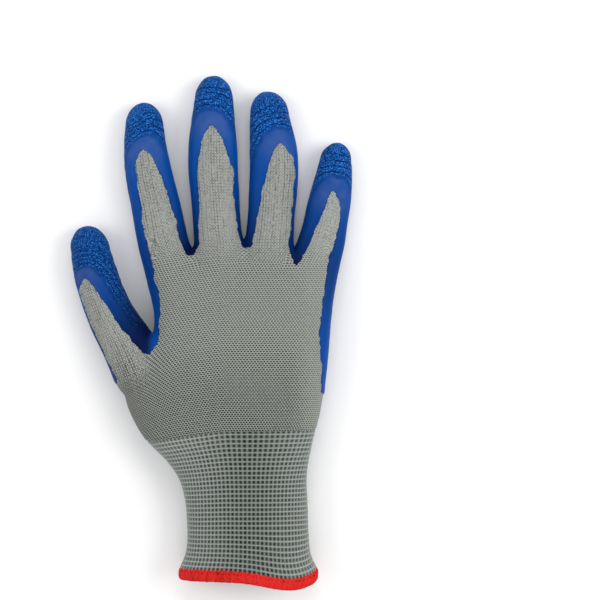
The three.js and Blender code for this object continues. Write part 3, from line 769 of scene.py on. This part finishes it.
# The hand's plain knit. Its fingers are knitted finer, lighter and with plainer wales. Its stitch gaps are
# painted dark as shade, more so towards the cuff, where the stitches are drawn open, and less on the right
# side, as painted light.
plainKnit = {
    "grain": 0.95, "fromY": -64, "wall": 1.2, "tuck": 1.6, "pressed": 0.8, "offTable": 0.5,
    "lowerY": -50, "hiddenFrom": -46.6, "tuckReach": 1.2, "underLatex": (1.5, 4),
    "waves": [(0.22, 13, 21), (0.1, 5, 22)],  # height, cell and seed
    "wrinkle": {"x": 56, "y": 46, "lean": 0.45, "reach": 9, "width": 3.4, "pitch": 6.5, "height": 0.5},
    "wales": 146, "course": 1.94, "fingerWale": 1.5, "fingerCourse": 1.45,
    "rootY": 40.0, "rootZ": 20.0, "fingerFrom": 30, "fingerTo": 50, "fingerMargin": 2.5,
    "thumbRoot": (-34, -21, 20), "thumbAlong": (-9, 5), "thumbAcross": (9, 1),
    "waleEdge": ([-42, -30, -18, 0, 16, 40], [-38, -42, -43, -41, -37, -31]),
    "fanX": -13, "fanTable": np.array([[-60, 0.004], [-46, 0.009], [-26, 0.018], [-12, 0.017], [12, 0]]),
    # Levels of the stitch gaps' painted shade: rising towards the cuff, lower on the right side as painted
    # light; the dark colour is the shade in the gaps.
    "openHand": 0.45, "openBelow": (4, -38), "rightFrom": 36, "rightTo": 54, "rightClosed": 0.35,
    "light": colour(143, 147, 141), "fingerLight": colour(157, 160, 155), "dark": colour(30, 33, 30),
    "closedGap": 0.52, "openGap": 1.34, "openShade": 0.16, "fingerGap": 0.8, "fingerGroove": 0.62,
    "waleSpread": 0.65, "fingerPitLoss": 0.15, "unevenness": 0.26, "fingerUnevenness": 0.5,
    "streak": (0.9, 0.28, 1.0), "streakShade": 0.14, "fleckScale": 1250.0, "fleckShare": 0.82,
    "reliefDepth": 0.00018, "roughness": 0.85, "sheen": 0.08, "sheenRoughness": 0.4, "specular": 0.2,
}


def plainKnitMaterial(look):
    material, tree, shader = newMaterial("grey knit", {
        "Roughness": look.roughness, "Sheen Weight": look.sheen,
        "Sheen Roughness": look.sheenRoughness, "Specular IOR Level": look.specular})
    onFinger, onThumb, openAndShaded = attributes(tree, "onFinger", "onThumb", "open")
    inputs = {"Wale Groove": onFinger * look.fingerGroove, "Wale Spread": look.waleSpread,
              "Pit Depth": 1.0 - onFinger * look.fingerPitLoss}
    lay = uvMap(tree, "lay")
    hand = placeGroup(tree, stitches, {"Lay": lay, **inputs})
    thumb = placeGroup(tree, stitches, {"Lay": uvMap(tree, "thumbLay"), **inputs})
    gap, height = (hand[part] * (1.0 - onThumb) + thumb[part] * onThumb for part in ("Gap", "Height"))
    tone = placeGroup(tree, yarnTone, {"Place": objectPlace(tree), "Flecks": look.fleckScale,
                                       "Fleck Share": look.fleckShare})["Tone"]
    drawn = wireFrom(tree, "ShaderNodeVectorMath", 0, {0: lay, 1: look.streak}, operation="MULTIPLY")
    streaks = (ramp(noise(drawn, 1.0), 0.3, 0.7) - 0.5) * (onFinger * look.streakShade)
    uneven = (tone - 0.5) * spanBetween(onFinger, look.unevenness, look.fingerUnevenness)
    # Painted shade in the stitch gaps: deeper towards the cuff with extra painted shade there, shallower on
    # the right side as painted light, and shallower on the fingers.
    depth = spanBetween(openAndShaded, look.closedGap, look.openGap) * spanBetween(onFinger, 1.0, look.fingerGap)
    shade = gap * depth + spanBetween(openAndShaded, 0.0, look.openShade, 0.5)
    shade = maths("ADD", shade, uneven + streaks, clamp=True)
    light = blendColour(onFinger, look.light, look.fingerLight)
    finishMaterial(shader, blendColour(shade, light, look.dark), height, look.reliefDepth)
    return material


# Share of the way round an oval, from -0.5 to 0.5 with 0 on the back: the point goes straight up or
# down to the oval, except near the sides, and its angle is looked up in a table of running lengths.
def shareRound(points, rows, roundness, tableRow):
    values = alongRows(rows, points[:, 1])
    x = (points[:, 0] - (values[:, 1] + values[:, 2]) / 2) / ((values[:, 2] - values[:, 1]) / 2)
    z = (points[:, 2] - (values[:, 3] + values[:, 4]) / 2) / ((values[:, 3] - values[:, 4]) / 2)
    onOval = np.maximum(0, 1 - np.abs(x) ** roundness) ** (1 / roundness) * np.where(z > -0.35, 1, -1)
    z = z + smoothStep(1, 0.86, np.abs(x)) * (onOval - z)
    power = roundness / 2
    angle = np.arctan2(np.sign(x) * np.abs(x) ** power, np.sign(z) * np.abs(z) ** power)
    fine = np.linspace(-math.pi, math.pi, 1441)
    rings, _ = ovalRings(tableRow[None, :], math.pi / 2 - fine, 0, roundness)
    lengths = np.concatenate([[0], np.cumsum(np.linalg.norm(np.diff(rings[0], axis=0), axis=1))])
    return np.interp(angle, fine, lengths / lengths[-1] - 0.5), lengths[-1]


# Wale and course numbers of the hand's knit: the share of the way round times the wales, and the
# height in courses, with the cuff's bend and a fan under the thumb that grows with the square of the
# way past fanX. Past the thumb's fork the wales keep the way that waleEdge gives.
def handLay(points, look):
    rows = handRows.copy()
    rows[:, 1] = np.minimum(rows[:, 1], np.interp(rows[:, 0], *look.waleEdge))
    share, _ = shareRound(points, rows, form.handRoundness, alongRows(rows, [-30])[0])
    strength = np.interp(points[:, 1], look.fanTable[:, 0], look.fanTable[:, 1])
    fan = strength * np.maximum(0, look.fanX - points[:, 0]) ** 2
    return share * look.wales, (points[:, 1] + rowBend(points[:, 0]) + fan) / look.course


# A finger's lay, which meets the hand's at its root: wales are counted round the finger and courses
# along its axis. The ways along and across the axis come with it.
def fingerLay(points, look, finger, rootPoint):
    rows, rootPoint = finger["rows"], np.array([rootPoint], float)
    root = alongRows(rows, rootPoint[:, 1])[0]
    axis = np.array(finger["tip"]) - [(root[1] + root[2]) / 2, rootPoint[0, 1]]
    axis /= np.linalg.norm(axis)
    offset = points[:, :2] - rootPoint[:, :2]
    along, across = offset @ axis, offset @ np.array([axis[1], -axis[0]])
    share, girth = shareRound(points, rows, form.fingerRoundness, root)
    rootShare, _ = shareRound(rootPoint, rows, form.fingerRoundness, root)
    rootU, rootV = handLay(rootPoint, look)
    u = rootU[0] + (share - rootShare[0]) * girth / look.fingerWale
    return u, rootV[0] + along / look.fingerCourse, along, across


# The lays of the knit and of the thumb, with how far each point is on a finger and on the thumb. A
# finger's lay takes over from the hand's by a smooth step along Y.
def stitchLay(points, look):
    handU, handV = handLay(points, look)
    thumbU, thumbV, along, across = fingerLay(points, look, fingerRows["thumb"], look.thumbRoot)
    onThumb = smoothStep(*look.thumbAlong, along) * smoothStep(*look.thumbAcross, across)
    u, v, onFinger = handU, handV, onThumb
    for name in ("index", "middle", "ring", "little"):
        rows = fingerRows[name]["rows"]
        root = alongRows(rows, [look.rootY])[0]
        rootPoint = ((root[1] + root[2]) / 2, look.rootY, look.rootZ)
        fingerU, fingerV, _, _ = fingerLay(points, look, fingerRows[name], rootPoint)
        middle = alongRows(rows, points[:, 1])[:, 1:3].mean(axis=1)
        near = np.abs(points[:, 0] - middle) < (root[2] - root[1]) / 2 + look.fingerMargin
        weight = smoothStep(look.fingerFrom, look.fingerTo, points[:, 1]) * near
        u, v = u + weight * (fingerU - handU), v + weight * (fingerV - handV)
        onFinger = np.maximum(onFinger, weight)
    lays = {"lay": np.stack([u, v], axis=-1), "thumbLay": np.stack([thumbU, thumbV], axis=-1)}
    return lays, onFinger, onThumb


# Soft wrinkles that run across the little finger: a sine along its axis under a bell round their middle.
def wrinkles(points, fold):
    across = points[:, 0] - fold["x"]
    along = across * fold["lean"] + points[:, 1] - fold["y"]
    hill = bell(along, fold["reach"]) * bell(across, fold["width"]) * (points[:, 2] > 8)
    return fold["height"] * hill * np.sin(2 * math.pi * along / fold["pitch"])


# The knit's wall: the joined skin with waves and wrinkles, tucked in under the cuff and pressed in
# under the latex by smooth steps, and an inner face one wall further in.
def buildKnit(look):
    skin, quads = jointSkin(form.knitFace, look.grain, look.fromY)
    normals = pointNormals(skin, quads)
    hangs = rowBend(skin[:, 0])
    quads, staying = keepQuads(skin, quads, skin[:, 1] > look.lowerY - hangs)
    skin, normals, hangs = skin[staying], normals[staying], hangs[staying]
    tucked = smoothStep(look.hiddenFrom, look.hiddenFrom - look.tuckReach, skin[:, 1] + hangs)
    waves = layeredNoise(skin, look.waves) + wrinkles(skin, look.wrinkle)
    under = smoothStep(*look.underLatex, latexCover(skin))
    lift = waves * (1 - tucked) - look.tuck * tucked - look.pressed * under
    outer = skin + normals * lift[:, None]
    inner = skin - normals * (look.wall + look.tuck * tucked)[:, None]
    points = np.concatenate([outer, inner])
    points[:, 2] = np.maximum(points[:, 2], look.offTable)
    lays, onFinger, onThumb = stitchLay(skin, look)
    # The mask for that painted shade: a level over the hand that rises towards the cuff, where the stitches
    # are drawn open, and falls on the right side, painted lighter as light.
    onRight = smoothStep(look.rightFrom, look.rightTo, skin[:, 0])
    towardsCuff = (1 - look.openHand) * smoothStep(*look.openBelow, skin[:, 1])
    openAndShaded = look.openHand + towardsCuff * (1 - onRight) - look.rightClosed * onRight
    values = {"onFinger": onFinger, "onThumb": onThumb, "open": openAndShaded}
    piece = makePiece("knitHand", points, wallQuads(quads, len(skin)), plainKnitMaterial(look),
                      {name: np.tile(lay, (2, 1)) for name, lay in lays.items()},
                      {key: np.tile(value, 2) for key, value in values.items()})
    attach(piece, "root")
    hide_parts("knit_hand", *("knit_" + name for name in fingerRows))
    print("knit:", len(piece.data.polygons) * 2, "triangles")


# The latex: smooth along its border, crinkled on the palm and the fingertips, with ragged bands past
# the tongues of knit, painted shade where the fingers meet and by the thumb, and a painted sheen near the
# tongues' tips.
latexCoat = {
    "grain": 0.72, "fromY": -76, "thickness": 0.45, "sunk": 0.1, "offTable": 0.4, "overlap": 1.4,
    "face": 0.6, "edgeStep": 0.16, "hem": 0.5, "smoothBand": 7.5, "border": 0.35,
    "rag": [(0.4, 1.4, 11), (0.45, 4.2, 12)],  # size, cell and seed
    "fineDents": (0.16, 2.6, 13), "softDents": (0.3, 11, 14), "bloomPatches": (0.6, 3.2, 15),
    "palmReach": 27, "palmBand": (-61, -53), "thumbCrinkle": 0.4, "thumbX": (-30, -38), "thumbY": (-16, 0),
    # Reaches and shares of the painted shade between the fingers and by the thumb, and of the painted sheen
    # near the tongues' tips.
    "poolReach": 27, "forkPool": 0.76, "nearPool": 6, "nearForkPool": 0.25,
    "thumbPool": 0.95, "thumbPoolPlace": (-33, -5), "thumbShade": 0.2, "bloomReach": 9, "bloomShare": 0.6,
    # Beside the latex's own blues: a dark blue for the crinkles' hollows, as painted shade, and for the rim;
    # a painted highlight for the crests; a painted sheen; and a near-black painted shade for between the
    # fingers.
    "base": colour(2, 74, 156), "deep": colour(0, 30, 80), "fleck": colour(52, 126, 208),
    "smooth": colour(2, 65, 140), "bloom": colour(68, 88, 138), "pooled": colour(0, 9, 50),
    "roughness": 0.5, "smoothRoughness": 0.45, "specular": 0.05, "crinkleDepth": 0.00036,
    "ridgeScale": 1750.0, "wanderScale": 210.0, "edgeWander": 5.0, "bandWander": 2.0, "bandPitch": 2.9,
    "bandReach": 24.0, "bandDepth": 0.48, "mazeScale": 430.0, "mazeDepth": 0.85, "crestShare": 0.95,
    "rimShare": 0.4, "rimEdge": (0.9, 0.2), "stepEdge": (-0.45, 0.25), "faceEdge": (0, 4.5),
    "ridgeEdge": (0.34, 0.66), "mazeWidth": 0.035, "bandEdge": (0.16, 0.02),
    "deepHeight": (0.62, -0.15), "crestHeight": (0.6, 0.95),
}


def latexMaterial(look):
    material, tree, shader = newMaterial("blue latex", {"Specular IOR Level": look.specular})
    place = objectPlace(tree)
    fromEdge, pool, bloom, onTop = attributes(tree, "fromEdge", "pool", "bloom", "onTop")
    wander = noise(place, look.wanderScale, 3.0) - 0.5
    ragged = fromEdge + wander * look.edgeWander
    crinkled = ramp(ragged, look.smoothBand - 1.5, look.smoothBand + 2)
    ridges = ramp(noise(place, look.ridgeScale, 2.0, 0.6, 0.3), *look.ridgeEdge)
    fromBand = fromHalf((fromEdge + wander * look.bandWander) / look.bandPitch)
    bandShare = ramp(fromEdge, look.bandReach, look.bandReach - 6) * (onTop * look.bandDepth)
    maze = maths("ABSOLUTE", noise(place, look.mazeScale, 1.0, distortion=0.5) - 0.5)
    mazeGroove = ramp(maze, look.mazeWidth, 0.0) * ((1.0 - onTop) * look.mazeDepth)
    grooves = maths("MAXIMUM", ramp(fromBand, *look.bandEdge) * bandShare, mazeGroove)
    height = crinkled * (ridges - grooves)
    # Painted sheen: the smooth band turns a lighter, greyer blue near the tongues' tips.
    skinTone = blendColour(crinkled, blendColour(bloom, look.smooth, look.bloom), look.base)
    # Painted shade in the crinkles' hollows and a painted highlight on their crests.
    shaded = blendColour(ramp(height, *look.deepHeight) * crinkled, skinTone, look.deep)
    highlighted = blendColour(ramp(height, *look.crestHeight) * look.crestShare, shaded, look.fleck)
    rimmed = blendColour(ramp(fromEdge, *look.rimEdge) * look.rimShare, highlighted, look.deep)
    gloss = spanBetween(crinkled, look.smoothRoughness, look.roughness)
    tree.links.new(gloss.socket, shader.inputs["Roughness"])
    # Painted shade darkens the latex between the fingers and by the thumb.
    finishMaterial(shader, blendColour(pool, rimmed, look.pooled), height, look.crinkleDepth)
    return material


# Least distance from each point to a set of others, in blocks.
def distanceTo(points, others):
    others = others.astype(np.float32)
    squares = (others**2).sum(axis=1)
    found = []
    for block in np.array_split(points.astype(np.float32), max(1, len(points) // 4000)):
        gaps = (block**2).sum(axis=1)[:, None] + squares[None, :] - 2 * block @ others.T
        found.append(np.sqrt(np.maximum(gaps.min(axis=1), 0)))
    return np.concatenate(found)


# Least distance in plan from each point to a few places.
def planDistance(points, places):
    return np.linalg.norm(points[:, None, :2] - np.array(places)[None], axis=2).min(axis=1)


# How much painted shade the latex takes: bells round the forks or by the thumb's inner side, or a
# little over the whole thumb, whichever is most, and none at the table.
def paintedShadeDepth(look, skin):
    x, y, z = skin.T
    fromFork = planDistance(skin, [web[0] for name, web in webs.items() if name != "thumb"])
    atForks = (look.forkPool * bell(fromFork, look.poolReach)
               + look.nearForkPool * bell(fromFork, look.nearPool))
    fromThumb = planDistance(skin, [look.thumbPoolPlace])
    atThumb = look.thumbPool * bell(fromThumb, look.poolReach) * smoothStep(-26, -31, x)
    onThumb = look.thumbShade * smoothStep(-30, -40, x) * smoothStep(75, 45, y)
    return np.maximum(atForks, np.maximum(atThumb, onThumb)) * smoothStep(1, 6, z)


# The latex's wall: the joined skin, sunk at its border, raised by smooth steps inside it and dented
# by noise, and an inner face one wall further in.
def buildLatex(look):
    skin, quads = jointSkin(form.knitFace, look.grain, look.fromY)
    normals = pointNormals(skin, quads)
    cover = latexCover(skin) + layeredNoise(skin, look.rag)
    quads, staying = keepQuads(skin, quads, cover > -look.overlap)
    skin, normals, cover = skin[staying], normals[staying], cover[staying]
    halfHeight = np.array([1, 1, 0.5])
    fromEdge = distanceTo(skin * halfHeight, skin[np.abs(cover) < look.border] * halfHeight)
    onTop = smoothStep(-0.4, 0.05, normals[:, 2])
    onPalm = (1 - onTop) * smoothStep(*look.palmBand, skin[:, 1])
    fromEdge = np.maximum(np.where(cover < 0, 0, fromEdge), look.palmReach * onPalm)
    onThumb = smoothStep(*look.thumbX, skin[:, 0]) * smoothStep(*look.thumbY, skin[:, 1])
    fromEdge *= 1 + look.thumbCrinkle * onThumb
    crinkled = smoothStep(look.smoothBand - 1, look.smoothBand + 2.5, fromEdge)
    lift = (look.edgeStep + look.hem) * smoothStep(*look.stepEdge, cover) - look.hem - look.sunk
    lift += (look.face - look.edgeStep) * smoothStep(*look.faceEdge, fromEdge)
    lift += layeredNoise(skin, [look.fineDents]) * crinkled
    lift += layeredNoise(skin, [look.softDents]) * smoothStep(0, 6, fromEdge)
    # Painted sheen on the upward faces near the tongues' tips, in patches.
    fromTip = planDistance(skin, [tongue["tip"] for tongue in tongues.values()])
    bloom = look.bloomShare * bell(fromTip, look.bloomReach) * smoothStep(0.3, 0.8, normals[:, 2])
    bloom *= 0.85 + layeredNoise(skin, [look.bloomPatches])
    outer = skin + normals * lift[:, None]
    inner = skin + normals * (lift - look.thickness)[:, None]
    outer[:, 2] = np.maximum(outer[:, 2], 0)
    inner[:, 2] = np.maximum(inner[:, 2], look.offTable)
    values = {"fromEdge": fromEdge, "pool": paintedShadeDepth(look, skin), "bloom": bloom, "onTop": onTop}
    piece = makePiece("latexCoat", np.concatenate([outer, inner]), wallQuads(quads, len(skin)),
                      latexMaterial(look), values={key: np.tile(value, 2) for key, value in values.items()})
    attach(piece, "root")
    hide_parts("latex_palm", *("latex_" + name for name in fingerRows))
    print("latex:", len(piece.data.polygons) * 2, "triangles")


print("materials ready")
buildCuff(SimpleNamespace(**meshKnit))
buildHem(SimpleNamespace(**threadHem))
buildKnit(SimpleNamespace(**plainKnit))
buildLatex(SimpleNamespace(**latexCoat))

# The table, the lights and the camera straight above.
studio = {
    "viewWidth": 0.291, "viewMiddle": (0.0433, 0.0159), "lens": 120.0, "focusHeight": 0.013,
    "floor": (0.86, 0.86, 0.86, 1), "world": 0.7, "aim": (0.03, 0.0, 0.01),
    "softboxes": {  # place, width and power
        "leftSoftbox": ((-1.15, 0.1, 0.95), 0.9, 6.4),
        "rightSoftbox": ((1.2, 0.15, 0.95), 0.9, 12),
        "backSoftbox": ((0.05, 1.2, 1.05), 0.9, 6),
        "frontSoftbox": ((0.0, -1.25, 1.05), 0.9, 2.6),
    },
}


def buildStudio(look):
    bpy.ops.mesh.primitive_plane_add(size=6, location=(0, 0, 0))
    floor = bpy.context.object
    floor.name = "floor"
    material, _, _ = newMaterial("pale table", {
        "Base Color": look.floor, "Roughness": 0.9, "Specular IOR Level": 0.1})
    floor.data.materials.append(material)
    world = bpy.data.worlds.new("studio")
    world.use_nodes = True
    background = world.node_tree.nodes["Background"]
    background.inputs["Color"].default_value = (1, 1, 1, 1)
    background.inputs["Strength"].default_value = look.world
    bpy.context.scene.world = world
    for name, (place, width, power) in look.softboxes.items():
        light = bpy.data.lights.new(name, "AREA")
        light.shape = "SQUARE"
        light.size = width
        light.energy = power
        lamp = bpy.data.objects.new(name, light)
        lamp.location = place
        aim = np.array(look.aim) - place
        tilt, turn = math.atan2(math.hypot(aim[0], aim[1]), -aim[2]), math.atan2(aim[1], aim[0])
        lamp.rotation_euler = (tilt, 0, turn - math.pi / 2)
        bpy.context.collection.objects.link(lamp)
    cameraData = bpy.data.cameras.new("camera")
    cameraData.lens = look.lens
    cameraData.sensor_width = 36
    camera = bpy.data.objects.new("camera", cameraData)
    distance = look.viewWidth * look.lens / 36
    camera.location = (*look.viewMiddle, look.focusHeight + distance)
    bpy.context.collection.objects.link(camera)
    bpy.context.scene.camera = camera
    bpy.context.scene.view_settings.view_transform = "Standard"
    print("studio ready")


buildStudio(SimpleNamespace(**studio))
